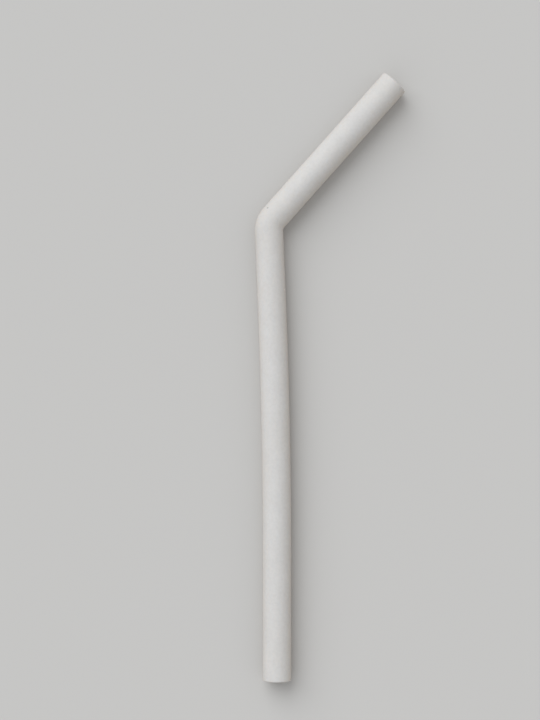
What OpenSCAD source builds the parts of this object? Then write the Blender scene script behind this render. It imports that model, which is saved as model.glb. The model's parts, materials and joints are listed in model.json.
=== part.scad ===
// A bent drinking straw: one soft round tube of even wall, open at both ends.
// Its path is a straight foot, a gentle bow, a straight neck, a tight bend and a straight
// mouth leg, each tangent to the next. It lies flat in the plane of the bend, with the foot
// towards -Y and the mouth leg turned towards +X. The origin is on the surface it lies on,
// below the middle of its outline.

/* [Tube] */
// Diameter of the bore
bore_d = 8; // [5:0.5:9]
// Thickness of the wall
wall_t = 1.5; // [0.8:0.1:2.5]
// Radius of the rounded edges at the two open ends
lip_r = 0.5; // [0.1:0.05:0.7]

/* [Lower leg] */
// Length of the straight foot, from its open end to the bow
foot_l = 47; // [20:1:90]
// Length of the bow, along the middle of the tube
bow_l = 100; // [40:1:160]
// Angle that the bow turns through, away from the mouth leg
bow_angle = 2.3; // [0.5:0.1:8]
// Length of the straight neck, from the bow to the bend
neck_l = 27; // [10:1:60]

/* [Bend and mouth leg] */
// Radius of the bend, at the middle of the tube
bend_r = 8; // [7.5:0.5:30]
// Angle that the bend turns through
bend_angle = 44; // [15:1:90]
// Length of the straight mouth leg, from the bend to its open end
mouth_l = 70; // [30:1:120]

/* [Hidden] */

// Facets round the tube, and steps along a curved run
facets = 96;
run_steps = 16;
// A curved run reaches this far into the runs that it joins, and its wall is this hair
// thicker on both sides, so that it takes in their ends and all the runs are one body.
overlap = 0.05;
hair = 0.005;

bore_r = bore_d / 2;
outer_r = bore_r + wall_t;
// The rounded edges leave a flat between them, however thin the wall.
edge_r = min(lip_r, 0.4 * wall_t);
bow_r = bow_l / bow_angle * 180 / PI;

// Points of the path in the plane of the bend, from the middle of the foot's open end
bow_end = [0, foot_l] + bow_r * [cos(bow_angle) - 1, sin(bow_angle)];
neck_end = bow_end + neck_l * [-sin(bow_angle), cos(bow_angle)];
bend_centre = neck_end + bend_r * [cos(bow_angle), sin(bow_angle)];
// The mouth leg's heading, clockwise from +Y, and the middle of its open end
mouth_angle = bend_angle - bow_angle;
mouth_along = [sin(mouth_angle), cos(mouth_angle)];
mouth_right = [cos(mouth_angle), -sin(mouth_angle)];
mouth_end = bend_centre - bend_r * mouth_right + mouth_l * mouth_along;

// The rounded edge of the mouth is centred this far in from its outermost points.
edge_centre = mouth_end - edge_r * mouth_along;
edge_reach = (outer_r - edge_r) * mouth_right;
// The outline's lowest and highest corners
outline_lo = [bend_centre[0] - bend_r - outer_r - hair, 0];
outline_hi = [
  max(edge_centre[0] + edge_reach[0] + edge_r, outer_r),
  edge_centre[1] - edge_reach[1] + edge_r
];
outline_middle = (outline_lo + outline_hi) / 2;

// The wall, cut across the tube, thicker by an extra amount on both sides
module wall_ring(extra = 0) {
  difference() {
    circle(r = outer_r + extra, $fn = facets);
    circle(r = bore_r - extra, $fn = facets);
  }
}

// The wall, cut along the tube, with the two edges of its far end rounded
module wall_strip(length) {
  translate([bore_r, 0]) square([wall_t, length - edge_r]);
  translate([bore_r + edge_r, 0]) square([wall_t - 2 * edge_r, length]);
  for (edge = [bore_r + edge_r, outer_r - edge_r])
    translate([edge, length - edge_r]) circle(r = edge_r, $fn = facets / 3);
}

// A straight run along +Y, cut square at both ends
module plain_run(length) {
  rotate([-90, 0, 0]) linear_extrude(height = length) wall_ring();
}

// A straight run along +Y to an open end with rounded edges
module open_run(length) {
  rotate([-90, 0, 0]) rotate_extrude($fn = facets) wall_strip(length);
}

// A curved run about the origin, from the X axis through an angle
module curved_run(radius, angle) {
  reach = overlap / radius * 180 / PI;
  rotate_extrude(start = -reach, angle = angle + 2 * reach, $fn = run_steps * 360 / angle)
    translate([radius, 0]) wall_ring(hair);
}

// A turn to the left of a path along +Y, with what follows it placed at its end
module left_turn(radius, angle) {
  translate([-radius, 0, 0]) {
    curved_run(radius, angle);
    rotate([0, 0, angle]) translate([radius, 0, 0]) children();
  }
}

// A turn to the right is a left one mirrored, with what follows it mirrored back.
module right_turn(radius, angle) {
  mirror([1, 0, 0]) left_turn(radius, angle) mirror([1, 0, 0]) children();
}

module foot() {
  mirror([0, 1, 0]) open_run(foot_l);
}

module bow() {
  left_turn(bow_r, bow_angle) children();
}

module neck() {
  plain_run(neck_l);
  translate([0, neck_l, 0]) children();
}

module bend() {
  right_turn(bend_r, bend_angle) children();
}

module mouth_leg() {
  open_run(mouth_l);
}

module straw() {
  color([0.72, 0.71, 0.69])
    translate([-outline_middle[0], foot_l - outline_middle[1], outer_r + hair]) {
      foot();
      bow() neck() bend() mouth_leg();
    }
}

straw();
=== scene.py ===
"""The looks of a bent silicone drinking straw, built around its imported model."""

import json
import math

import bpy
from mathutils import Matrix, Vector


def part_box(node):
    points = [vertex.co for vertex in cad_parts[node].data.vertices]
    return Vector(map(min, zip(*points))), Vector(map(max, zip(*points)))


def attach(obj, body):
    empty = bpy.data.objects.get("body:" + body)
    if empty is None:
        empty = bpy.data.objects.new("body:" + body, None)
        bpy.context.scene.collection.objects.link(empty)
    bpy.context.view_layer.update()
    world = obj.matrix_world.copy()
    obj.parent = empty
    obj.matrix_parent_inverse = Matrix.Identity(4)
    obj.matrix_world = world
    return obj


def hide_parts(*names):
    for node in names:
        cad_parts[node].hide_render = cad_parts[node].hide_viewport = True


bl_info = {
    "name": "Bent drinking straw",
    "version": (1, 0, 0),
    "blender": (4, 5, 0),
    "location": "3D View > Sidebar > Straw",
    "description": "Models a bent silicone straw and sets it on a pale floor",
    "category": "Object",
}

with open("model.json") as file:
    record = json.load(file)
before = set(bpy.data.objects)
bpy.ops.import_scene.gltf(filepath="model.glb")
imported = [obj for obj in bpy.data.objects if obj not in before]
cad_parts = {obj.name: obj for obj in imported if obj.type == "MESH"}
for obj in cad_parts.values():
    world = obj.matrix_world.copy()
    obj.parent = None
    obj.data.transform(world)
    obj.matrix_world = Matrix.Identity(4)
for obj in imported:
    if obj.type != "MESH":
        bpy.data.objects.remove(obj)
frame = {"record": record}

MM = 0.001
UP = Vector((0, 0, 1))
MOUNTS = {mount["name"]: mount for mount in frame["record"]["mounts"]}
FOOT = MOUNTS["foot_outside"]
MOUTH = MOUNTS["mouth_bore"]
BORE_RADIUS = MOUTH["dims"]["r_mm"] * MM
OUTER_RADIUS = FOOT["dims"]["r_mm"] * MM
BOX_LOW, BOX_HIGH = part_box("straw")

# Height of the image in pixels, and how many of them a millimetre at the tube's middle fills
IMAGE_HEIGHT = 720
PIXELS_PER_MM = 2.58
# The place in the straw's plane that the middle of the image shows
VIEW_CENTRE = (-23.1 * MM, 6.6 * MM)

# How finely each pattern on the silicone varies, in features per metre
PATCHES_PER_M = 40.0
CLOUDS_PER_M = 150.0
MOTTLE_PER_M = 900.0
GRAIN_PER_M = 3000.0
SWELL_PER_M = 120.0
DUST_PER_M = 300.0
DUSTY_SPOTS_PER_M = 710.0
FIBRE_LINES_PER_M = 190.0
FIBRE_SPOTS_PER_M = 300.0
UNEVEN_EDGE_PER_M = 2500.0
# The value that a noise varies about
NOISE_MIDDLE = 0.5

# How strongly each pattern changes the colour, from 0 to 1
PATCHES_SHARE = 0.5
CLOUDS_SHARE = 0.22
MOTTLE_SHARE = 0.45
DUST_SHARE = 0.20
FIBRES_SHARE = 0.25
PALE_SPECK_SHARE = 0.80
DARK_SPECK_SHARE = 0.40
# The colour of the clouds and the mottle, as a part of the main colour
DARKER = 0.90
# How much the roughness varies with the mottle and with the patches
MOTTLE_ROUGHNESS = 0.12
PATCHES_ROUGHNESS = 0.08

# Heights of the fine grain, of the slow swell and of the lint on the surface
GRAIN_HEIGHT = 0.034 * MM
SWELL_HEIGHT = 0.060 * MM
LINT_HEIGHT = 0.020 * MM

# A dark speck above the bend, and a pale one on the right side of the neck
DARK_SPECK = (-24.05 * MM, 65.30 * MM, 9.10 * MM)
DARK_SPECK_RADIUS = 0.45 * MM
PALE_SPECK = (-17.28 * MM, 33.80 * MM, 7.30 * MM)
PALE_SPECK_RADIUS = 0.50 * MM

# The places that the soft key light and the weak fill light shine from
KEY_PLACE = (-0.55, 0.75, 0.85)
FILL_PLACE = (0.80, -0.35, 0.45)
WHITE = (1.0, 1.0, 1.0)

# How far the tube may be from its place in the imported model
PLACE_TOLERANCE = 0.05 * MM


class StrawShape(bpy.types.PropertyGroup):
    """The sizes of the straw's path and wall."""

    outer_radius: bpy.props.FloatProperty(
        name="Outer radius",
        description="Radius of the outside of the tube",
        default=OUTER_RADIUS,
        unit="LENGTH",
        subtype="DISTANCE",
    )
    wall: bpy.props.FloatProperty(
        name="Wall",
        description="Thickness of the wall",
        default=OUTER_RADIUS - BORE_RADIUS,
        unit="LENGTH",
        subtype="DISTANCE",
    )
    lip_radius: bpy.props.FloatProperty(
        name="Lip radius",
        description="Radius of the rounded edges at the open ends",
        default=0.5 * MM,
        unit="LENGTH",
        subtype="DISTANCE",
    )
    foot_length: bpy.props.FloatProperty(
        name="Foot length",
        description="Length of the straight foot",
        default=47 * MM,
        unit="LENGTH",
        subtype="DISTANCE",
    )
    bow_length: bpy.props.FloatProperty(
        name="Bow length",
        description="Length of the gentle bow along the middle of the tube",
        default=100 * MM,
        unit="LENGTH",
        subtype="DISTANCE",
    )
    bow_angle: bpy.props.FloatProperty(
        name="Bow angle",
        description="Angle that the bow turns through, to the left",
        default=math.radians(2.3),
        unit="ROTATION",
        subtype="ANGLE",
    )
    neck_length: bpy.props.FloatProperty(
        name="Neck length",
        description="Length of the straight neck below the bend",
        default=27 * MM,
        unit="LENGTH",
        subtype="DISTANCE",
    )
    bend_radius: bpy.props.FloatProperty(
        name="Bend radius",
        description="Radius of the bend at the middle of the tube",
        default=8 * MM,
        unit="LENGTH",
        subtype="DISTANCE",
    )
    bend_angle: bpy.props.FloatProperty(
        name="Bend angle",
        description="Angle that the bend turns through, to the right",
        default=math.radians(44),
        unit="ROTATION",
        subtype="ANGLE",
    )
    mouth_length: bpy.props.FloatProperty(
        name="Mouth leg length",
        description="Length of the straight mouth leg",
        default=70 * MM,
        unit="LENGTH",
        subtype="DISTANCE",
    )


class StrawFinish(bpy.types.PropertyGroup):
    """The colours and the surface of the silicone."""

    body: bpy.props.FloatVectorProperty(
        name="Silicone",
        description="Main colour of the silicone",
        default=(0.638, 0.636, 0.632),
        min=0,
        max=1,
        subtype="COLOR",
    )
    warm: bpy.props.FloatVectorProperty(
        name="Warm patches",
        description="Colour of the faint warm patches",
        default=(0.634, 0.621, 0.603),
        min=0,
        max=1,
        subtype="COLOR",
    )
    lint: bpy.props.FloatVectorProperty(
        name="Lint",
        description="Colour of the pale lint that clings to the silicone",
        default=(0.80, 0.79, 0.77),
        min=0,
        max=1,
        subtype="COLOR",
    )
    smudge: bpy.props.FloatVectorProperty(
        name="Smudge",
        description="Colour of the dark speck above the bend",
        default=(0.13, 0.12, 0.11),
        min=0,
        max=1,
        subtype="COLOR",
    )
    roughness: bpy.props.FloatProperty(
        name="Roughness",
        description="Mean roughness of the matt surface",
        default=0.74,
        min=0,
        max=1,
        subtype="FACTOR",
    )


class StrawStage(bpy.types.PropertyGroup):
    """The floor, the lamps and the camera."""

    camera_height: bpy.props.FloatProperty(
        name="Camera height",
        description="Height of the camera above the middle of the tube",
        default=0.75,
        unit="LENGTH",
        subtype="DISTANCE",
    )
    key_strength: bpy.props.FloatProperty(
        name="Key light",
        description="Strength of the soft light from high up at the top left of the picture",
        default=1.92,
        min=0,
    )
    key_spread: bpy.props.FloatProperty(
        name="Key spread",
        description="Angle that the soft light fills, as seen from the straw",
        default=math.radians(60),
        unit="ROTATION",
        subtype="ANGLE",
    )
    fill_strength: bpy.props.FloatProperty(
        name="Fill light",
        description="Strength of the weak warm light from the right",
        default=0.13,
        min=0,
    )
    fill_spread: bpy.props.FloatProperty(
        name="Fill spread",
        description="Angle that the weak warm light fills, as seen from the straw",
        default=math.radians(70),
        unit="ROTATION",
        subtype="ANGLE",
    )
    fill_colour: bpy.props.FloatVectorProperty(
        name="Fill colour",
        description="Colour of the weak warm light",
        default=(1.0, 0.78, 0.54),
        min=0,
        max=1,
        subtype="COLOR",
    )
    sky_strength: bpy.props.FloatProperty(
        name="Sky",
        description="Strength of the even light from all round",
        default=0.56,
        min=0,
    )
    backdrop_strength: bpy.props.FloatProperty(
        name="Backdrop",
        description="Brightness of the backdrop, where the camera sees past the floor",
        default=0.57,
        min=0,
    )
    floor_colour: bpy.props.FloatVectorProperty(
        name="Floor",
        description="Colour that the floor shows",
        default=(0.57, 0.57, 0.565),
        min=0,
        max=1,
        subtype="COLOR",
    )
    bounce_colour: bpy.props.FloatVectorProperty(
        name="Floor bounce",
        description="Colour of the light that the floor throws back on the straw",
        default=(0.46, 0.38, 0.29),
        min=0,
        max=1,
        subtype="COLOR",
    )


class Wire:
    """A shader value. Python's arithmetic on it adds Math nodes."""

    def __init__(self, graph, socket):
        self.graph = graph
        self.socket = socket

    def __add__(self, other):
        return self.graph.math("ADD", self, other)

    def __radd__(self, other):
        return self.graph.math("ADD", other, self)

    def __sub__(self, other):
        return self.graph.math("SUBTRACT", self, other)

    def __rsub__(self, other):
        return self.graph.math("SUBTRACT", other, self)

    def __mul__(self, other):
        return self.graph.math("MULTIPLY", self, other)

    def __rmul__(self, other):
        return self.graph.math("MULTIPLY", other, self)


class Graph:
    """The node tree of a material or of the world."""

    def __init__(self, tree):
        self.tree = tree
        tree.nodes.clear()

    def add(self, kind, settings=None, inputs=None):
        """Adds a node and returns its outputs by name, as wires."""
        node = self.tree.nodes.new(kind)
        for name, value in (settings or {}).items():
            setattr(node, name, value)
        for name, value in (inputs or {}).items():
            if isinstance(name, int):
                socket = node.inputs[name]
            else:
                socket = next(s for s in node.inputs if s.name == name and s.enabled)
            if isinstance(value, Wire):
                self.tree.links.new(value.socket, socket)
            else:
                socket.default_value = value
        return {s.name: Wire(self, s) for s in node.outputs if s.enabled}

    def math(self, operation, *values):
        """Adds a Math node that takes these values in order, and returns its result."""
        return self.add("ShaderNodeMath", {"operation": operation}, dict(enumerate(values)))["Value"]

    def noise(self, place, scale, detail=2.0, roughness=0.5):
        """Soft noise about its middle value, with the scale given as features per metre."""
        inputs = {"Vector": place, "Scale": scale, "Detail": detail, "Roughness": roughness}
        return self.add("ShaderNodeTexNoise", {}, inputs)["Fac"]

    def ramp(self, value, low, high, low_result=0.0, high_result=1.0):
        """Maps low to high onto the two results, smoothly and without going past them."""
        inputs = {
            "Value": value,
            "From Min": low,
            "From Max": high,
            "To Min": low_result,
            "To Max": high_result,
        }
        settings = {"interpolation_type": "SMOOTHSTEP"}
        return self.add("ShaderNodeMapRange", settings, inputs)["Result"]

    def falling_ramp(self, value, low, high):
        """1 up to low, falling smoothly to 0 at high."""
        return self.ramp(value, low, high, low_result=1.0, high_result=0.0)

    def mix(self, factor, first, second):
        """Mixes two colours."""
        inputs = {"Factor": factor, "A": opaque(first), "B": opaque(second)}
        return self.add("ShaderNodeMix", {"data_type": "RGBA"}, inputs)["Result"]

    def blot(self, place, point, radius):
        """1 within an uneven spot about a point, and 0 outside it."""
        settings = {"operation": "DISTANCE"}
        reach = self.add("ShaderNodeVectorMath", settings, {0: place, 1: point})["Value"]
        uneven = reach + radius * (self.noise(place, UNEVEN_EDGE_PER_M) - NOISE_MIDDLE)
        return self.falling_ramp(uneven, low=0.55 * radius, high=1.1 * radius)

    def seen(self):
        """1 for what the camera sees, also by reflection or through glass, and 0 for other light."""
        rays = self.add("ShaderNodeLightPath")
        return rays["Is Camera Ray"] + rays["Is Glossy Ray"] + rays["Is Transmission Ray"]

    def white_light(self, strength):
        """White light of the world."""
        inputs = {"Color": opaque(WHITE), "Strength": strength}
        return self.add("ShaderNodeBackground", {}, inputs)["Background"]


def opaque(colour):
    """A colour as the four numbers of a socket. A wire stays as it is."""
    if isinstance(colour, Wire):
        return colour
    return (*colour[:3], 1.0)


def silicone():
    """Matt off-white silicone: faint patches, a fine grain, and the lint that clings to it."""
    finish = bpy.context.scene.straw_finish
    material = bpy.data.materials.new("silicone")
    material.use_nodes = True
    graph = Graph(material.node_tree)
    place = graph.add("ShaderNodeTexCoord")["Object"]

    patches = graph.ramp(graph.noise(place, PATCHES_PER_M), low=0.38, high=0.68)
    clouds = graph.ramp(graph.noise(place, CLOUDS_PER_M), low=0.35, high=0.70)
    mottle = graph.noise(place, MOTTLE_PER_M, detail=3.0, roughness=0.6)
    grain = graph.noise(place, GRAIN_PER_M, detail=3.0, roughness=0.65)
    swell = graph.noise(place, SWELL_PER_M, detail=1.0)

    colour = graph.mix(PATCHES_SHARE * patches, finish.body, finish.warm)
    dark_spots = graph.ramp(mottle, low=0.35, high=0.70)
    shade = CLOUDS_SHARE * clouds + MOTTLE_SHARE * dark_spots
    colour = graph.mix(shade, colour, [DARKER * part for part in finish.body])

    dust = DUST_SHARE * lint_dust(graph, place)
    fibres = FIBRES_SHARE * lint_fibres(graph, place)
    speck = PALE_SPECK_SHARE * graph.blot(place, PALE_SPECK, PALE_SPECK_RADIUS)
    lint = graph.math("MAXIMUM", graph.math("MAXIMUM", dust, fibres), speck)
    colour = graph.mix(lint, colour, finish.lint)
    smudge = DARK_SPECK_SHARE * graph.blot(place, DARK_SPECK, DARK_SPECK_RADIUS)
    colour = graph.mix(smudge, colour, finish.smudge)

    roughness = finish.roughness + MOTTLE_ROUGHNESS * (mottle - NOISE_MIDDLE)
    roughness = roughness - PATCHES_ROUGHNESS * (patches - NOISE_MIDDLE)
    height = GRAIN_HEIGHT * grain + SWELL_HEIGHT * swell + LINT_HEIGHT * lint
    bump = graph.add("ShaderNodeBump", {}, {"Strength": 0.8, "Distance": 1.0, "Height": height})
    inputs = {
        "Base Color": colour,
        "Roughness": roughness,
        "Normal": bump["Normal"],
        "IOR": 1.41,
        "Subsurface Weight": 0.15,
        "Subsurface Radius": (1.0, 0.78, 0.60),
        "Subsurface Scale": 1.2 * MM,
        "Specular IOR Level": 0.4,
    }
    surface = graph.add("ShaderNodeBsdfPrincipled", {}, inputs)
    graph.add("ShaderNodeOutputMaterial", {}, {"Surface": surface["BSDF"]})
    return material


def lint_dust(graph, place):
    """Small pale dots, on a few of the cells only."""
    cells = graph.add("ShaderNodeTexVoronoi", {}, {"Vector": place, "Scale": DUST_PER_M})
    dots = graph.falling_ramp(cells["Distance"], low=0.04, high=0.09)
    few = graph.ramp(graph.noise(place, DUSTY_SPOTS_PER_M, detail=0.0), low=0.64, high=0.72)
    return dots * few


def lint_fibres(graph, place):
    """Short thin curved hairs, where the middle value of a noise crosses a few small spots."""
    off_line = graph.math("ABSOLUTE", graph.noise(place, FIBRE_LINES_PER_M, detail=1.0) - NOISE_MIDDLE)
    lines = graph.falling_ramp(off_line, low=0.002, high=0.006)
    few = graph.ramp(graph.noise(place, FIBRE_SPOTS_PER_M, detail=0.0), low=0.68, high=0.76)
    return lines * few


def select_edges(mesh, chosen):
    """Selects only the edges that a test picks, and goes on in edit mode."""
    bpy.ops.object.mode_set(mode="EDIT")
    bpy.ops.mesh.select_mode(type="EDGE")
    bpy.ops.mesh.select_all(action="DESELECT")
    bpy.ops.object.mode_set(mode="OBJECT")
    for edge in mesh.edges:
        edge.select = chosen(edge)
    bpy.ops.object.mode_set(mode="EDIT")


class Sweep:
    """Carries the selected ring along a path in the plane of the bend, in edit mode."""

    def __init__(self, start, heading, spacing):
        self.at = start.copy()
        self.heading = heading.copy()
        self.spacing = spacing

    def straight(self, length):
        """Carries the ring straight on, in even steps."""
        steps = max(1, round(length / self.spacing))
        step = self.heading * (length / steps)
        for _ in range(steps):
            bpy.ops.mesh.extrude_region_move(TRANSFORM_OT_translate={"value": step})
        self.at += self.heading * length

    def turn(self, radius, angle, steps):
        """Turns left through a positive angle and right through a negative one."""
        left = UP.cross(self.heading)
        centre = self.at + left * math.copysign(radius, angle)
        bpy.ops.mesh.spin(steps=steps, angle=-angle, center=centre, axis=UP)
        rotation = Matrix.Rotation(angle, 3, UP)
        self.at = centre + rotation @ (self.at - centre)
        self.heading = rotation @ self.heading


def confirm_place(tube, path_end, lip_radius):
    """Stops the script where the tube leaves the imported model's path or box."""
    mouth = Vector(MOUTH["pos_m"]) + Vector(MOUTH["axis"]) * lip_radius
    if (path_end - mouth).length > PLACE_TOLERANCE:
        raise RuntimeError(f"the tube ends at {path_end}, and its mouth is at {mouth}")
    places = [vertex.co for vertex in tube.data.vertices]
    low = Vector([min(place[i] for place in places) for i in range(3)])
    high = Vector([max(place[i] for place in places) for i in range(3)])
    if max((low - BOX_LOW).length, (high - BOX_HIGH).length) > PLACE_TOLERANCE:
        raise RuntimeError(f"the tube fills {low} to {high}, and not its box")


class STRAW_OT_tube(bpy.types.Operator):
    """Models the straw as one tube swept along its path, with a wall and rounded lips"""

    bl_idname = "straw.tube"
    bl_label = "Model the straw"

    SIDES = 96
    RING_SPACING = 2.5 * MM
    BOW_STEPS = 40
    BEND_STEPS = 22
    LIP_SEGMENTS = 8
    NEAR = 0.001 * MM
    # How much an edge along a rim may change its distance from the middle, as a part of the wall
    RIM_CHANGE = 0.1

    def execute(self, context):
        shape = context.scene.straw_shape
        heading = -Vector(FOOT["axis"])
        start = Vector(FOOT["pos_m"]) - heading * shape.lip_radius

        tube = self.add_ring(context, shape, start)
        path = self.sweep_ring(shape, start, heading)
        self.add_wall(tube, shape)
        ends = [(start, -heading), (path.at, path.heading)]
        self.round_lips(tube.data, ends, shape)
        bpy.ops.object.shade_smooth()
        tube.data.materials.append(silicone())
        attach(tube, "root")
        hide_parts("straw")
        confirm_place(tube, path.at, shape.lip_radius)
        return {"FINISHED"}

    def add_ring(self, context, shape, start):
        """Adds the ring of the foot's open end."""
        bpy.ops.object.select_all(action="DESELECT")
        bpy.ops.mesh.primitive_circle_add(
            vertices=self.SIDES,
            radius=shape.outer_radius,
            location=start,
            rotation=(math.radians(90), 0, 0),
        )
        tube = context.object
        tube.name = "straw_tube"
        tube.data.name = tube.name
        bpy.ops.object.transform_apply(location=True, rotation=True, scale=True)
        return tube

    def sweep_ring(self, shape, start, heading):
        """Sweeps the ring along the straw's path into an open skin."""
        bpy.ops.object.mode_set(mode="EDIT")
        bpy.ops.mesh.select_all(action="SELECT")
        path = Sweep(start, heading, self.RING_SPACING)
        path.straight(shape.foot_length)
        path.turn(shape.bow_length / shape.bow_angle, shape.bow_angle, self.BOW_STEPS)
        path.straight(shape.neck_length)
        path.turn(shape.bend_radius, -shape.bend_angle, self.BEND_STEPS)
        path.straight(shape.mouth_length)
        bpy.ops.mesh.select_all(action="SELECT")
        bpy.ops.mesh.remove_doubles(threshold=self.NEAR)
        bpy.ops.mesh.normals_make_consistent(inside=False)
        bpy.ops.object.mode_set(mode="OBJECT")
        return path

    def add_wall(self, tube, shape):
        """Gives the skin its wall, inwards."""
        wall = tube.modifiers.new("wall", "SOLIDIFY")
        wall.thickness = shape.wall
        wall.offset = -1
        wall.use_even_offset = True
        bpy.ops.object.modifier_apply(modifier=wall.name)

    def round_lips(self, mesh, ends, shape):
        """Rounds the outer and the inner edge of the wall at each open end."""

        def on_rim(edge):
            places = [mesh.vertices[i].co for i in edge.vertices]
            for centre, outward in ends:
                if all(abs((place - centre).dot(outward)) < self.NEAR for place in places):
                    reach = [(place - centre).length for place in places]
                    return abs(reach[0] - reach[1]) < self.RIM_CHANGE * shape.wall
            return False

        select_edges(mesh, on_rim)
        bpy.ops.mesh.bevel(
            offset=shape.lip_radius,
            segments=self.LIP_SEGMENTS,
            profile=0.5,
            affect="EDGES",
        )
        bpy.ops.mesh.select_all(action="DESELECT")
        bpy.ops.object.mode_set(mode="OBJECT")


def add_lamp(name, place, strength, spread, colour):
    """A soft light, far off in the direction of a place, that lights the whole floor evenly."""
    bpy.ops.object.select_all(action="DESELECT")
    bpy.ops.object.light_add(type="SUN", location=place)
    lamp = bpy.context.object
    lamp.name = name
    lamp.data.energy = strength
    lamp.data.angle = spread
    lamp.data.color = colour
    lamp.rotation_euler = (-lamp.location).to_track_quat("-Z", "Y").to_euler()


def floor_finish(stage):
    """A plain matt floor that looks pale and throws back less light than it shows."""
    material = bpy.data.materials.new("floor")
    material.use_nodes = True
    graph = Graph(material.node_tree)
    colour = graph.mix(graph.seen(), stage.bounce_colour, stage.floor_colour)
    surface = graph.add("ShaderNodeBsdfDiffuse", {}, {"Color": colour})
    graph.add("ShaderNodeOutputMaterial", {}, {"Surface": surface["BSDF"]})
    return material


def light_sky(stage):
    """Even light from all round, and a pale backdrop where the camera sees past the floor."""
    world = bpy.data.worlds.new("sky")
    bpy.context.scene.world = world
    world.use_nodes = True
    graph = Graph(world.node_tree)
    sky = graph.white_light(stage.sky_strength)
    backdrop = graph.white_light(stage.backdrop_strength)
    mixed = graph.add("ShaderNodeMixShader", {}, {0: graph.seen(), 1: sky, 2: backdrop})
    graph.add("ShaderNodeOutputWorld", {}, {"Surface": mixed["Shader"]})


class STRAW_OT_stage(bpy.types.Operator):
    """Adds the floor, the soft lamps, the sky and the camera that looks straight down"""

    bl_idname = "straw.stage"
    bl_label = "Set the stage"

    FLOOR_SIZE = 6.0

    def execute(self, context):
        stage = context.scene.straw_stage
        bpy.ops.object.select_all(action="DESELECT")
        bpy.ops.mesh.primitive_plane_add(size=self.FLOOR_SIZE, location=(0, 0, 0))
        floor = context.object
        floor.name = "floor"
        floor.data.materials.append(floor_finish(stage))

        add_lamp("key", KEY_PLACE, stage.key_strength, stage.key_spread, WHITE)
        add_lamp("fill", FILL_PLACE, stage.fill_strength, stage.fill_spread, stage.fill_colour)
        light_sky(stage)

        centre = Vector((*VIEW_CENTRE, FOOT["pos_m"][2]))
        bpy.ops.object.camera_add(location=centre + UP * stage.camera_height, rotation=(0, 0, 0))
        camera = context.object
        camera.name = "camera"
        half_view = IMAGE_HEIGHT / 2 / PIXELS_PER_MM * MM
        camera.data.lens = camera.data.sensor_width / 2 * stage.camera_height / half_view
        context.scene.camera = camera
        context.scene.view_settings.view_transform = "Standard"
        return {"FINISHED"}


class STRAW_PT_panel(bpy.types.Panel):
    """Lists the steps that make the straw, and what a user would change"""

    bl_label = "Drinking straw"
    bl_idname = "STRAW_PT_panel"
    bl_space_type = "VIEW_3D"
    bl_region_type = "UI"
    bl_category = "Straw"

    def draw(self, context):
        scene = context.scene
        for group in (scene.straw_shape, scene.straw_finish, scene.straw_stage):
            column = self.layout.column()
            for name in group.bl_rna.properties.keys():
                if name not in ("rna_type", "name"):
                    column.prop(group, name)
        self.layout.operator(STRAW_OT_tube.bl_idname)
        self.layout.operator(STRAW_OT_stage.bl_idname)


CLASSES = (StrawShape, StrawFinish, StrawStage, STRAW_OT_tube, STRAW_OT_stage, STRAW_PT_panel)


def register():
    for entry in CLASSES:
        bpy.utils.register_class(entry)
    bpy.types.Scene.straw_shape = bpy.props.PointerProperty(type=StrawShape)
    bpy.types.Scene.straw_finish = bpy.props.PointerProperty(type=StrawFinish)
    bpy.types.Scene.straw_stage = bpy.props.PointerProperty(type=StrawStage)


def unregister():
    del bpy.types.Scene.straw_stage
    del bpy.types.Scene.straw_finish
    del bpy.types.Scene.straw_shape
    for entry in reversed(CLASSES):
        bpy.utils.unregister_class(entry)


def main():
    register()
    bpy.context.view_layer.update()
    bpy.ops.straw.tube()
    bpy.ops.straw.stage()


if __name__ == "__main__":
    main()
